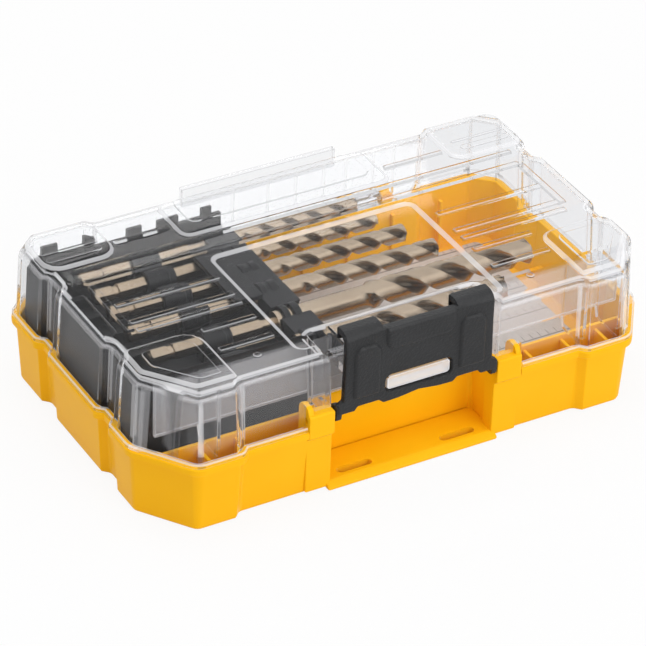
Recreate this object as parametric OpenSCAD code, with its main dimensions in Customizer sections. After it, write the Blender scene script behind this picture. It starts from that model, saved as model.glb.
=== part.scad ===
// Drill bit case: a yellow base with a clear lid hinged at the rear, a latch at the front,
// a black tray that holds the shanks, and a set of hex-shank drill bits.
// X runs along the length, -Y is the latch side, Z is up, the origin is at the centre of the underside.

/* [Case] */
// Length over the end walls
case_l = 232; // [216:1:250]
// Depth over the corner blocks
case_w = 138; // [130:1:150]
// Height of the base, up to the seam
base_h = 31.5; // [29:0.5:34]
// Height of the lid's main top surface above the table
lid_top = 64.5; // [62.5:0.5:70]
// Wall thickness of the base
base_wall = 2.2; // [1.8:0.1:2.8]
// Thickness of the base's floor
floor_t = 2.6; // [2:0.1:3.4]
// Wall thickness of the lid
lid_wall = 2; // [1.6:0.1:2.6]
// Thickness of the lid's top
lid_skin = 2.2; // [1.8:0.1:2.8]
// Gap between the lid and the base at the seam
seam_gap = 0.2; // [0.1:0.05:0.4]

/* [Outline] */
// Front corner chamfer along X
front_cx = 17; // [14:0.5:20]
// Front corner chamfer along Y
front_cy = 24.2; // [22:0.1:26]
// Rear corner chamfer along X
rear_cx = 10; // [7:0.5:13]
// Rear corner chamfer along Y
rear_cy = 9.5; // [7:0.5:12]
// Half distance between the corner blocks, at the panel
block_x = 77; // [72:0.5:82]
// How far the corner blocks stand proud of the front and rear panels
block_step = 3; // [2:0.1:3.6]
// Depth of the grooves in the end walls
groove_d = 2.9; // [2:0.1:3.4]
// Centre of the front groove in the end walls
groove_y1 = -22.8; // [-26:0.1:-20]
// Centre of the rear groove in the end walls
groove_y2 = 31.8; // [28:0.1:35]
// Width of each groove at its mouth
groove_w = 13.6; // [11:0.1:16]

/* [Rim] */
// How far the rim stands out from the base wall
rim_out = 2; // [1.5:0.1:2.5]
// Height of the base's rim
rim_h = 3.3; // [2.5:0.1:4]
// How far the lid's flange stands out from the wall
flange_out = 1.7; // [1.2:0.1:2]
// Thickness of the lid's flange
flange_t = 2.3; // [1.8:0.1:3]

/* [Latch bay] */
// Half width of the recess behind the latch
bay_x = 37.4; // [35.5:0.1:40]
// Depth of the recess from the corner blocks
bay_d = 21; // [19:0.5:23]
// Width of each tower beside the latch
tower_w = 11.6; // [10.5:0.1:13]
// Top of the towers above the table
tower_top = 40.5; // [39:0.5:41.5]
// Thickness of the ledge under the latch
ledge_t = 3.2; // [2.6:0.1:4]
// Length of each slot in the ledge
slot_l = 16; // [12:1:18]
// Width of each slot in the ledge
slot_w = 3.6; // [3:0.1:4]
// Half distance between the slots' centres
slot_x = 24; // [21:0.5:26]

/* [Latch] */
// Half width of the latch plate
latch_x = 33.5; // [32:0.1:34]
// Thickness of the latch plate
latch_t = 3.2; // [2.6:0.1:3.8]
// Height of the latch's pivot above the table
pivot_z = 35.6; // [35:0.1:37]
// Distance of the pivot behind the latch's face
pivot_in = 3.9; // [3.6:0.1:5]
// Top of the latch above the lid's main surface
hook_rise = 9; // [8.4:0.1:10]
// Thickness of the top hooks
hook_t = 3.4; // [2.8:0.1:4]
// Reach of the top hooks over the lid, from the latch's face
hook_reach = 8.8; // [8:0.1:9.5]
// Half width of the gap between the hooks
hook_gap = 17; // [14:0.5:20]
// Half width of the window in the latch
window_x = 15; // [12:0.5:16.5]
// Height of the window
window_h = 7.6; // [6:0.1:9]
// Bottom of the window above the table
window_z = 40.8; // [40:0.1:42]
// Clearance of the lid's tongue in the window
tongue_gap = 0.5; // [0.3:0.1:1]

/* [Pins] */
// Diameter of the lid's hinge pins
hinge_pin_d = 3; // [2:0.1:3.6]
// Diameter of the latch's pivot pins
latch_pin_d = 3; // [2:0.1:3.6]
// Radial running clearance of the pins
pin_gap = 0.08; // [0.02:0.01:0.1]
// Radius of the hinge knuckles
knuckle_r = 3.5; // [3:0.1:4]
// Centre of each hinge along X
hinge_x = 56; // [45:1:62]
// Length of the lid's knuckle
knuckle_l = 12; // [8:0.5:14]

/* [Tray] */
// Right-hand end of the tray and its bridge
tray_end = -18; // [-24:1:-12]
// Height of the tray's deck above the table
deck_z = 34.5; // [33:0.5:35.5]
// Wall thickness of the tray
tray_wall = 2; // [1.6:0.1:2.4]
// Top of the tray's side walls
tray_top = 57; // [52:0.5:60]
// Clearance between the tray and the base
tray_gap = 0.3; // [0.2:0.1:0.6]
// Radial clearance of the bits in their holders
grip_gap = 0.2; // [0.1:0.05:0.3]
// Left-hand end of the shank clips
clip_x = -66.5; // [-72:0.5:-60]
// Length of the shank clips
clip_l = 13; // [9:0.5:15]
// Width of the bridge over the necks
bridge_l = 14; // [10:0.5:16]
// Height of the bits' axes above the table
bit_z = 43; // [42:0.5:44]
// Height of the small bits' axes above the table
small_z = 20; // [17:0.5:22]

/* [Drill bits] */
// Width of the hex shanks across their flats
hex_af = 6.35; // [5.5:0.05:7]
// Left-hand end of the hex shanks
shank_x = -90; // [-94:0.5:-86]
// Length of the hex shanks
shank_l = 53; // [48:0.5:54]
// Diameter of the groove round the hex shanks
shank_groove_d = 5; // [4.6:0.1:5.4]
// Length of one turn of the flutes, in diameters
flute_pitch = 3.6; // [3:0.1:5]
// Diameter and tip of bit 1, the largest
bit_1 = [12, 90]; // [0:0.1:100]
// Diameter and tip of bit 2
bit_2 = [10.3, 66]; // [0:0.1:100]
// Diameter and tip of bit 3
bit_3 = [8.7, 56]; // [0:0.1:100]
// Diameter and tip of bit 4
bit_4 = [7.9, 50]; // [0:0.1:100]
// Diameter and tip of bit 5
bit_5 = [7, 44]; // [0:0.1:100]
// Diameter and tip of bit 6
bit_6 = [6.4, 42]; // [0:0.1:100]
// Diameter and tip of bit 7
bit_7 = [4.8, 14]; // [0:0.1:100]
// Diameter and tip of bit 8
bit_8 = [4, 6]; // [0:0.1:100]
// Diameter and tip of bit 9
bit_9 = [3.2, 0]; // [0:0.1:100]

/* [Hidden] */
$fn = 48;

yellow = [0.96, 0.7, 0.1];
clear = [0.85, 0.88, 0.9, 0.4];
charcoal = [0.15, 0.16, 0.17];
black = [0.1, 0.1, 0.11];
bronze = [0.55, 0.47, 0.38];
steel = [0.7, 0.7, 0.72];
card = [0.8, 0.78, 0.77];

half_l = case_l / 2;
half_w = case_w / 2;
panel_y = half_w - block_step;
bay_y = half_w - bay_d;
eps = 0.01;

// The tray stands in the left half of the base, behind the lid's hanging wall
tray_play = 2.2;
tray_front = -bay_y + 2 * lid_wall + tray_play;
tray_left = -(half_l - groove_d - lid_wall - tray_gap - 0.2);

// Places of the bits across the case: the large ones lie in the deck, as shares of the half depth,
// and the small ones below it, from the tray's front
big_places = [-0.125, -0.4, 0.15, 0.383, 0.583, 0.79];
big_ys = [for (place = big_places) place * half_w];
small_first = 5.5;
small_step = 7.1;
bits = [bit_1, bit_2, bit_3, bit_4, bit_5, bit_6, bit_7, bit_8, bit_9];
bit_count = len(bits);
big_count = len(big_ys);
small_ys = [for (i = [0 : bit_count - big_count - 1]) tray_front + small_first + i * small_step];
function bit_y(i) = i < big_count ? big_ys[i] : small_ys[i - big_count];
function bit_axis_z(i) = i < big_count ? bit_z : small_z;
hex_r = hex_af / 2 / cos(30);
neck_r = 2.4;

// A corner of a path, rounded to radius r with n steps
function unit(v) = v / norm(v);
function bend(a, b, c, r, n) =
    let (u = unit(a - b), w = unit(c - b), half = acos(u * w) / 2,
         m = b + unit(u + w) * r / sin(half),
         s = b + u * r / tan(half), e = b + w * r / tan(half))
    [for (i = [0 : n]) m + r * unit((s - m) * (n - i) + (e - m) * i)];
function xy(p) = [p[0], p[1]];
function rounded(path, n = 3) =
    let (k = len(path))
    [for (i = [0 : k - 1])
        each bend(xy(path[(i + k - 1) % k]), xy(path[i]), xy(path[(i + 1) % k]), path[i][2], n)];
function mirrored(path) = [for (i = [len(path) - 1 : -1 : 0]) [-path[i][0], path[i][1], path[i][2]]];

// The end wall's grooves have 45 degree sides
function groove(y) = [
    [half_l, y - groove_w / 2, 1], [half_l - groove_d, y - groove_w / 2 + groove_d, 1],
    [half_l - groove_d, y + groove_w / 2 - groove_d, 1], [half_l, y + groove_w / 2, 1]
];

// Right half of the outline, from the front to the rear; each corner has its own radius
function right_half(bay) = concat(
    [[bay_x, -bay, 1.5], [bay_x, -panel_y, 1.5], [block_x, -panel_y, 1],
     [block_x + block_step, -half_w, 1], [half_l - front_cx, -half_w, 5],
     [half_l, -half_w + front_cy, 5]],
    groove(groove_y1), groove(groove_y2),
    [[half_l, half_w - rear_cy, 4], [half_l - rear_cx, half_w, 4],
     [block_x + block_step, half_w, 1], [block_x, panel_y, 1]]
);
function outline(bay) = let (half = right_half(bay)) rounded(concat(half, mirrored(half)));

module plan(grow = 0, bay = bay_y) {
    offset(delta = grow) polygon(outline(bay));
}

module both_sides() {
    children();
    mirror([1, 0, 0]) children();
}

module block(low, high) {
    translate(low) cube(high - low);
}

module slab(low, high) {
    translate([0, 0, low]) linear_extrude(high - low) children();
}

// A cylinder along X
module rod(x1, x2, y, z, r) {
    translate([x1, y, z]) rotate([0, 90, 0]) cylinder(h = x2 - x1, r = r);
}

// Hinge axis, behind the rim
hinge_y = panel_y + rim_out + knuckle_r + 0.9;
hinge_z = base_h + 0.5;
hinge_side = 6;
hinge_slack = 0.3;
hinge_web = 8;
hinge_web_top = 1.5;
hinge_reach = knuckle_l / 2 + hinge_slack + hinge_side;

// Latch pivot axis, inside the towers
face_y = -(panel_y + rim_out + 0.6);
pivot_y = face_y + pivot_in;
ear_r = 6.6;
ear_gap = 0.8;
tower_x = bay_x + tower_w;
tower_front = -(panel_y + rim_out);
arm_t = 2.5;
arm_slack = 0.4;
arm_x = bay_x - arm_slack - arm_t;

module tower() {
    rim_z = base_h - rim_h;
    block([bay_x, tower_front, rim_z], [tower_x, pivot_y, tower_top]);
    intersection() {
        rod(bay_x, tower_x, pivot_y, pivot_z, ear_r);
        block([bay_x, tower_front, rim_z], [tower_x, pivot_y + ear_r, pivot_z + ear_r]);
    }
    block([bay_x, -panel_y + eps, floor_t], [tower_x, pivot_y, rim_z + 1]);
    block([bay_x, pivot_y - 1, floor_t], [tower_x, pivot_y + ear_r, pivot_z]);
}

module base_hinge() {
    for (side = [-1, 1]) {
        x = hinge_x + side * (knuckle_l / 2 + hinge_slack + hinge_side / 2);
        rod(x - hinge_side / 2, x + hinge_side / 2, hinge_y, hinge_z, knuckle_r);
        block([x - hinge_side / 2, panel_y - 0.5, hinge_z - hinge_web],
              [x + hinge_side / 2, hinge_y, hinge_z - hinge_web_top]);
    }
}

// The ledge closes the bottom of the bay; its front edge slopes and reaches past the bay's ends
ledge_out = 2;
ledge_slope = [3, 2.3];
slot_in = 5;
slot_y = tower_front + slot_in + slot_w / 2;

module ledge() {
    x = bay_x + ledge_out;
    translate([-x, 0, 0]) rotate([90, 0, 90]) linear_extrude(2 * x)
        polygon([[tower_front, 0], [1 - bay_y, 0], [1 - bay_y, ledge_t],
                 [tower_front + ledge_slope[0], ledge_t], [tower_front, ledge_t - ledge_slope[1]]]);
}

module ledge_slots() {
    both_sides() translate([slot_x, slot_y, -1]) linear_extrude(ledge_t + 2) {
        square([slot_l - slot_w, slot_w], center = true);
        for (s = [-1, 1]) translate([s * (slot_l - slot_w) / 2, 0]) circle(d = slot_w);
    }
}

// The inner front wall and its cross ribs make the narrow pockets behind the front panels
rib_t = 1.6;
rib_d = 2.4;
rib_drop = 2;
inner_wall_top = base_h - 5;
end_gap = 6;
pocket_ribs = [-88.5, -72, 62, 79.8, 96.5];
rear_ribs = [-2, 20, 42, 64, 88];

module base_ribs() {
    both_sides() block([bay_x, -bay_y, floor_t - eps], [half_l - end_gap, -bay_y + rib_t, inner_wall_top]);
    for (x = pocket_ribs)
        block([x, -half_w + 1, floor_t - eps], [x + rib_t, -bay_y + 0.5, inner_wall_top - rib_drop]);
    for (x = rear_ribs)
        block([x, panel_y - base_wall - rib_d, floor_t - eps], [x + rib_t, panel_y - 0.5, inner_wall_top]);
}

module base_shell() color(yellow) difference() {
    union() {
        difference() {
            union() {
                slab(0, base_h) plan();
                slab(base_h - rim_h, base_h) difference() {
                    plan(rim_out);
                    translate([-tower_x, -case_w]) square([2 * tower_x, case_w - bay_y + rim_out + 1]);
                }
                both_sides() base_hinge();
            }
            slab(floor_t, 2 * base_h) plan(-base_wall);
        }
        intersection() {
            base_ribs();
            slab(0, base_h) plan(-base_wall / 2);
        }
        both_sides() tower();
        ledge();
    }
    ledge_slots();
    both_sides() {
        rod(hinge_x - hinge_reach - 1, hinge_x + hinge_reach + 1, hinge_y, hinge_z,
            hinge_pin_d / 2 + pin_gap);
        rod(bay_x - 1, tower_x + 1, pivot_y, pivot_z, latch_pin_d / 2 + pin_gap);
    }
}

// The nose is the part of the lid that reaches forward between the latch's arms
lid_z = base_h + seam_gap;
nose_x = 30.5;
nose_front = face_y + latch_t + 1.8;
nose_z = window_z + window_h + 1;
pad_h = 1.5;
rib_h = 1;
fillet = 4.4;
fillet_steps = 4;

// The four corner pads and the raised lines of the lid's top
pad_x = 78.5;
pad_front = -27;
pad_rear = 34.5;
panel_x = 49;
panel_rear = 18;
full_lines = [31.8, 22];
half_lines = [2.8, -11, -16.3];
short_lines = [45, -27, -40.5];
line_w = 2.4;
line_end = 8;
half_line_end = 12;
panel_front = -half_w + 20;

module lid_pads() {
    both_sides() {
        intersection() {
            slab(lid_top - eps, lid_top + pad_h) plan(-fillet);
            union() {
                block([pad_x, -half_w, 0], [half_l, pad_front, lid_top + pad_h]);
                block([pad_x, pad_rear, 0], [half_l, half_w, lid_top + pad_h]);
            }
        }
    }
}

module line(x1, x2, y) {
    block([x1, y - line_w / 2, lid_top - eps], [x2, y + line_w / 2, lid_top + rib_h]);
}

module lid_lines() {
    end = half_l - line_end;
    for (y = full_lines) line(-end, end, y);
    both_sides() {
        for (y = half_lines) line(panel_x, half_l - half_line_end, y);
        for (y = short_lines) line(panel_x, pad_x + 1, y);
        block([panel_x - line_w, panel_front, lid_top - eps], [panel_x, panel_rear, lid_top + rib_h]);
    }
    line(-panel_x, panel_x, panel_rear - line_w / 2);
}

module rounded_top(grow, bay) {
    for (i = [0 : fillet_steps - 1]) {
        a1 = 90 * i / fillet_steps;
        a2 = 90 * (i + 1) / fillet_steps;
        am = (a1 + a2) / 2;
        slab(lid_top - fillet + fillet * sin(a1) - eps, lid_top - fillet + fillet * sin(a2))
            plan(grow - fillet * (1 - cos(am)), bay);
    }
}

module nose(inset, top) {
    block([-nose_x + inset, nose_front + inset, nose_z + inset], [nose_x - inset, -bay_y + 3, top]);
}

// A raised strip along the rear edge, and the bead that the hooks catch behind
strip_x = 36.6;
strip_rise = 2;
strip_t = 2.6;
strip_in = 0.8;
strip_drop = 6;
bead_t = 1.6;
bead_h = hook_rise - hook_t - 1;
tongue_t = face_y - nose_front + 0.3;

module lid_strip() {
    y = panel_y - strip_in;
    block([-strip_x, y, lid_top - strip_drop], [strip_x, y + strip_t, lid_top + strip_rise]);
}

module lid_tongue() {
    x = window_x - tongue_gap;
    block([-x, nose_front, window_z + tongue_gap], [x, nose_front + lid_wall, nose_z + 1]);
    block([-x, face_y + 0.3, window_z + tongue_gap],
          [x, nose_front + eps, window_z + window_h - tongue_gap]);
}

module lid_beads() {
    both_sides() block([hook_gap + 1, nose_front, lid_top - 1],
                       [nose_x - 1, nose_front + bead_t, lid_top + bead_h]);
}

// Walls that hang from the lid, one behind each front panel, with cross ribs that reach into the base
hang_z = base_h + 4;
hang_end = 9;
hang_ribs = [-88.5, 79.8, 96.5];
hang_rib_z = base_h - 2.3;
hang_rib_slope = 1.5;
hang_rib_front = -panel_y + base_wall + 1;

module hanging_walls() {
    both_sides() block([bay_x - lid_wall, -bay_y, hang_z],
                       [half_l - hang_end, -bay_y + lid_wall, lid_top - 1]);
    for (x = hang_ribs) translate([x, 0, 0]) rotate([90, 0, 90]) linear_extrude(rib_t)
        polygon([[-bay_y + 1, lid_top - 1], [-half_w, lid_top - 1], [-half_w, lid_z + flange_t],
                 [hang_rib_front, lid_z + flange_t], [hang_rib_front, hang_rib_z],
                 [-bay_y - tongue_gap, hang_rib_z + hang_rib_slope],
                 [-bay_y - tongue_gap, hang_z], [-bay_y + 1, hang_z]]);
}

module lid_hinge() {
    rod(hinge_x - knuckle_l / 2, hinge_x + knuckle_l / 2, hinge_y, hinge_z, knuckle_r);
    block([hinge_x - knuckle_l / 2, panel_y - 0.5, lid_z],
          [hinge_x + knuckle_l / 2, hinge_y, lid_z + flange_t]);
}

module lid_shell() color(clear) difference() {
    union() {
        difference() {
            union() {
                slab(lid_z, lid_top - fillet + eps) plan();
                rounded_top(0, bay_y);
                slab(lid_z, lid_z + flange_t) difference() {
                    plan(flange_out);
                    translate([-tower_x, -case_w])
                        square([2 * tower_x, case_w - bay_y + flange_out + 0.3]);
                }
                nose(0, lid_top);
                lid_strip();
                both_sides() lid_hinge();
            }
            slab(lid_z - 1, lid_top - lid_skin) plan(-lid_wall);
            nose(lid_wall, lid_top - lid_skin);
        }
        intersection() {
            hanging_walls();
            slab(0, lid_top) plan(-lid_wall / 2);
        }
        lid_pads();
        lid_lines();
        lid_beads();
        lid_tongue();
    }
    both_sides() {
        block([bay_x - lid_wall, -case_w, lid_z - 1],
              [tower_x + ear_gap, pivot_y + ear_r + ear_gap, pivot_z + ear_r + ear_gap]);
        rod(hinge_x - knuckle_l / 2 - 1, hinge_x + knuckle_l / 2 + 1, hinge_y, hinge_z,
            hinge_pin_d / 2 + pin_gap);
    }
}

// The latch: a plate with a window, two arms down to the pivots and two hooks over the lid
latch_top = lid_top + hook_rise;
plate_z = window_z - 3.4;
tab_drop = 1.8;
hook_y = face_y + hook_reach;
lip_t = 1.6;
lip_h = 2.8;
boss_r = 4;
arm_rise = 12;
side_t = 2.2;
pad_out = 0.8;
grip_x = [19.5, 30.3];
grip_z = [plate_z + 4, latch_top - 8];
scoop_z = [latch_top - 11, latch_top - 3];

module latch_arm() {
    hull() {
        rod(arm_x, arm_x + arm_t, pivot_y, pivot_z, boss_r);
        block([arm_x, face_y + 1, plate_z - tab_drop + 0.6],
              [arm_x + arm_t, face_y + latch_t, plate_z + arm_rise]);
    }
    block([latch_x - 3, face_y, plate_z - tab_drop], [arm_x + arm_t, face_y + latch_t, plate_z + 4]);
    hull() {
        block([latch_x - side_t, face_y + 1, plate_z + 8], [latch_x, face_y + latch_t + 1, plate_z + 10]);
        block([latch_x - side_t, face_y + 1, latch_top - 6], [latch_x, hook_y, latch_top - 0.5]);
    }
}

module latch() color(charcoal) difference() {
    union() {
        block([-latch_x, face_y, plate_z], [latch_x, face_y + latch_t, latch_top]);
        block([-window_x - 1, face_y, plate_z - tab_drop], [window_x + 1, face_y + latch_t, plate_z + 1]);
        both_sides() {
            latch_arm();
            block([hook_gap, face_y + 0.5, latch_top - hook_t], [latch_x, hook_y, latch_top]);
            block([hook_gap + 1.5, hook_y - lip_t, latch_top - hook_t - lip_h],
                  [nose_x - 1.5, hook_y, latch_top - 1]);
        }
        block([-hook_gap + 1, face_y - pad_out, scoop_z[0]], [hook_gap - 1, face_y + 1, scoop_z[1]]);
        both_sides() block([grip_x[0], face_y - pad_out, grip_z[0]], [grip_x[1], face_y + 1, grip_z[1]]);
    }
    block([-window_x, face_y - 2, window_z], [window_x, face_y + latch_t + 2, window_z + window_h]);
    both_sides() rod(arm_x - 3, arm_x + arm_t + 1, pivot_y, pivot_z, latch_pin_d / 2 + pin_gap);
}

module hinge_pin(side) {
    x = side * hinge_x;
    color(steel) rod(x - hinge_reach, x + hinge_reach, hinge_y, hinge_z, hinge_pin_d / 2);
}

pin_sink = 3;

module latch_pin(side) {
    length = tower_x - pin_sink - arm_x;
    x = side > 0 ? arm_x : -arm_x - length;
    color(steel) rod(x, x + length, pivot_y, pivot_z, latch_pin_d / 2);
}

// The tray carries the shanks on its deck, and the bridge carries their necks
bridge_rear = max(big_ys) + bit_6[0] / 2 + 2.4;

module tray_plan(inset = 0) {
    intersection() {
        plan(-base_wall - tray_gap - inset);
        translate([tray_left + inset, tray_front + inset])
            square([tray_end - tray_left - 2 * inset, half_w - tray_front - 2 * inset]);
    }
}

notch_w = 9;
notch_h = 4.5;
notch_xs = [-102, -76, -48];
notch_rear = 24;
small_margin = 4;
small_foot = 6;

module bit_tray() color(black) {
    difference() {
        slab(floor_t, deck_z) tray_plan();
        slab(floor_t - 1, deck_z - tray_wall) tray_plan(tray_wall);
        for (i = [big_count : bit_count - 1])
            rod(tray_end - 5, tray_end + 5, bit_y(i), small_z, bits[i][0] / 2 + grip_gap);
    }
    difference() {
        slab(deck_z - eps, tray_top) difference() {
            tray_plan();
            tray_plan(tray_wall);
        }
        block([tray_end - bridge_l - 1, -half_w, deck_z - 1],
              [tray_end + 1, bridge_rear + 0.3, tray_top + 1]);
        block([tray_end - tray_wall - 1, -half_w, deck_z - 1], [tray_end + 1, half_w, tray_top + 1]);
        for (x = notch_xs) block([x, notch_rear, tray_top - notch_h], [x + notch_w, half_w, tray_top + 1]);
    }
    difference() {
        block([clip_x, min(small_ys) - small_margin, floor_t + small_foot],
              [clip_x + clip_l, max(small_ys) + small_margin, deck_z - tray_wall + eps]);
        for (y = small_ys) rod(clip_x - 1, clip_x + clip_l + 1, y, small_z, hex_r + grip_gap);
    }
}

// A row of collars that the hex shanks snap into
collar_r = hex_r + grip_gap + 1.5;
foot_x = 3;

module shank_clips() color(black) difference() {
    union() {
        for (y = big_ys) {
            rod(clip_x, clip_x + clip_l, y, bit_z, collar_r);
            block([clip_x, y - foot_x, deck_z], [clip_x + clip_l, y + foot_x, bit_z]);
        }
        block([clip_x + 1, min(big_ys) - foot_x, deck_z],
              [clip_x + clip_l - 1, max(big_ys) + foot_x, deck_z + 2]);
    }
    for (y = big_ys) rod(clip_x - 1, clip_x + clip_l + 1, y, bit_z, hex_r + grip_gap);
}

// The bridge over the necks, with a hole for each bit
bridge_rise = 4.5;

module neck_bridge() color(black) difference() {
    slab(deck_z, bit_z + bridge_rise) intersection() {
        tray_plan();
        translate([tray_end - bridge_l, -half_w]) square([bridge_l, half_w + bridge_rear]);
    }
    for (i = [0 : big_count - 1])
        rod(tray_end - bridge_l - 1, tray_end + 1, bit_y(i), bit_z, bits[i][0] / 2 + grip_gap);
}

card_gap = 0.6;
card_t = 0.5;
card_front = -bay_y + rib_t + card_gap;
card_rear = panel_y - base_wall - rib_d - card_gap;

module size_card() color(card) slab(floor_t, floor_t + card_t) intersection() {
    plan(-2 * base_wall - 2);
    translate([tray_end + card_gap, card_front]) square([half_l - tray_end, card_rear - card_front]);
}

// A drill bit: hex shank with a groove, neck, plain body, two flutes and a pointed tip
flute_angles = [-44, -15, 15, 44, 62, 88, 112];
flute_depths = [1, 1, 1, 1, 0.74, 0.38, 0.5];
flute_fit = 0.97;
slices_per_turn = 10;
flute_share = 0.72;
thick_share = 0.64;
web_share = 0.82;
point_share = 0.3;
groove_at = 8;
shank_groove_w = 3;
shank_taper = 3;

module flute_plan(r) {
    n = len(flute_angles);
    polygon([for (half = [0, 180], i = [0 : n - 1])
        flute_depths[i] * r * [cos(half + flute_angles[i]), sin(half + flute_angles[i])]]);
}

module hex_shank() {
    groove_end = groove_at + shank_groove_w;
    translate([0, 0, shank_x]) {
        cylinder(h = groove_at, r = hex_r, $fn = 6);
        translate([0, 0, groove_at - 1]) cylinder(h = shank_groove_w + 2, d = shank_groove_d);
        translate([0, 0, groove_end]) cylinder(h = shank_l - shank_taper - groove_end, r = hex_r, $fn = 6);
    }
}

module point_cutter(r, point) {
    rotate_extrude() polygon([[0.15 * r, 1], [0.15 * r, 0], [1.15 * r, -1.15 * point],
                              [2 * r, -1.15 * point], [2 * r, 1]]);
}

module drill(i) {
    d = bits[i][0];
    tip = bits[i][1];
    r = d / 2;
    neck = min(neck_r, 0.9 * r);
    body = i == 0 ? web_share * r : r;
    shank_end = shank_x + shank_l;
    body_x = tray_end - bridge_l - 1;
    flute_l = (tip - body_x) * (i == 0 ? thick_share : flute_share);
    turns = (flute_l + 1) / (flute_pitch * d);
    color(bronze) translate([0, bit_y(i), bit_axis_z(i)]) rotate([0, 90, 0]) {
        hex_shank();
        rotate_extrude() polygon([[0, shank_end - shank_taper - 1],
                                  [hex_af / 2 - 0.15, shank_end - shank_taper - 1],
                                  [neck, shank_end], [neck, body_x], [body, body_x],
                                  [body, tip - flute_l], [0, tip - flute_l]]);
        difference() {
            translate([0, 0, tip - flute_l - 1]) linear_extrude(
                flute_l + 1, twist = -360 * turns, slices = ceil(turns * slices_per_turn), segments = 1)
                flute_plan(flute_fit * r);
            translate([0, 0, tip]) point_cutter(r, point_share * d);
        }
    }
}

base_shell();
lid_shell();
latch();
hinge_pin(-1);  // hinge_pin_left
hinge_pin(1);  // hinge_pin_right
latch_pin(-1);  // latch_pin_left
latch_pin(1);  // latch_pin_right
bit_tray();
shank_clips();
neck_bridge();
size_card();
for (i = [0 : bit_count - 1])
    drill(i);
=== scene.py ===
# Drill bit case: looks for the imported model, in metres, in the model's own frame.
import bpy
import numpy as np
import math
from mathutils import Vector, Matrix


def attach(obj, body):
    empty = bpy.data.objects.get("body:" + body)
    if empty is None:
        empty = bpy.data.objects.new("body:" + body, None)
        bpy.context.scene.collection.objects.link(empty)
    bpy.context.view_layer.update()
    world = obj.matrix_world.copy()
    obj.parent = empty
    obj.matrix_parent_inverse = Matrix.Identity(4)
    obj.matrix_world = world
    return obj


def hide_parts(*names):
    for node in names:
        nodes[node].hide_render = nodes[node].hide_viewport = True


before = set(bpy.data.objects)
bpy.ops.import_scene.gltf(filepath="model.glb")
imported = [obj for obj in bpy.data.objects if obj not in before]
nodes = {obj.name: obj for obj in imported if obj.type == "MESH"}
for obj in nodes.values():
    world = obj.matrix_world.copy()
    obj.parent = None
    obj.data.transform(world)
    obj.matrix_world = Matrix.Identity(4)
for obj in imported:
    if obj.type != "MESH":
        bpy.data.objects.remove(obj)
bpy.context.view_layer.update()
mm = 0.001


# Camera and light

stage = {
    "world": 0.55, "floorGlow": 0.9, "floorHalf": 6, "floorZ": -0.0002,
    "lamps": [   # name, place, aim, size in metres and power in watts
        ("softTop", (-0.1, 0.1, 1.5), (0, 0, 0), (1.2, 1.2), 9),
        ("softFront", (0.3, -1.4, 0.7), (0, 0, 0.02), (1.2, 0.7), 9),
        ("stripRear", (0.1, 1.1, 0.8), (0, 0, 0.03), (1.2, 0.06), 2),
        ("stripLeft", (-1.1, 0.3, 0.8), (0, 0, 0.03), (0.9, 0.06), 1),
        ("stripRight", (0.9, -0.7, 0.9), (0, 0, 0.03), (0.9, 0.06), 2),
    ],
}
camera = {
    "place": (-0.6616, -1.1202, 0.9082),   # metres
    "aim": (0.0007, 0.0094, 0.022),
    "roll": 0.0342,                        # radians
    "lens": 212.9,                         # mm on a 36 mm sensor
}


# Camera: looks from place to aim, then rolls about that line
def addCamera():
    data = bpy.data.cameras.new("photoCamera")
    data.lens = camera["lens"]
    data.sensor_width = 36
    data.clip_start = 0.05
    data.clip_end = 50
    cam = bpy.data.objects.new("photoCamera", data)
    bpy.context.scene.collection.objects.link(cam)
    forward = (Vector(camera["aim"]) - Vector(camera["place"])).normalized()
    right = forward.cross(Vector((0, 0, 1))).normalized()
    up = right.cross(forward)
    c, s = math.cos(camera["roll"]), math.sin(camera["roll"])
    axes = Matrix((right * c + up * s, up * c - right * s, -forward)).transposed().to_4x4()
    cam.matrix_world = Matrix.Translation(camera["place"]) @ axes
    bpy.context.scene.camera = cam


# Lamp: a rectangle that faces its aim, and isn't seen itself or through the clear lid
def addLamp(name, place, aim, size, power):
    data = bpy.data.lights.new(name, "AREA")
    data.shape = "RECTANGLE"
    data.size, data.size_y = size
    data.energy = power
    lamp = bpy.data.objects.new(name, data)
    bpy.context.scene.collection.objects.link(lamp)
    forward = (Vector(aim) - Vector(place)).normalized()
    lamp.visible_camera = lamp.visible_transmission = False
    lamp.matrix_world = Matrix.Translation(place) @ forward.to_track_quat("-Z", "Y").to_matrix().to_4x4()


# Shader maths: a wrapped socket takes part in plain expressions, in which | gives the larger of two

class Value:
    def __init__(self, tree, socket):
        self.tree, self.socket = tree, socket

    def math(self, kind, *others):
        return node(self.tree, "ShaderNodeMath", {"operation": kind}, [self, *others])

    def __add__(self, other): return self.math("ADD", other)
    def __radd__(self, other): return self.math("ADD", other)
    def __mul__(self, other): return self.math("MULTIPLY", other)
    def __rmul__(self, other): return self.math("MULTIPLY", other)
    def __sub__(self, other): return self.math("SUBTRACT", other)
    def __rsub__(self, other): return node(self.tree, "ShaderNodeMath", {"operation": "SUBTRACT"}, [other, self])
    def __pow__(self, other): return self.math("POWER", other)
    def __or__(self, other): return self.math("MAXIMUM", other)
    def __abs__(self): return self.math("ABSOLUTE")


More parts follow.
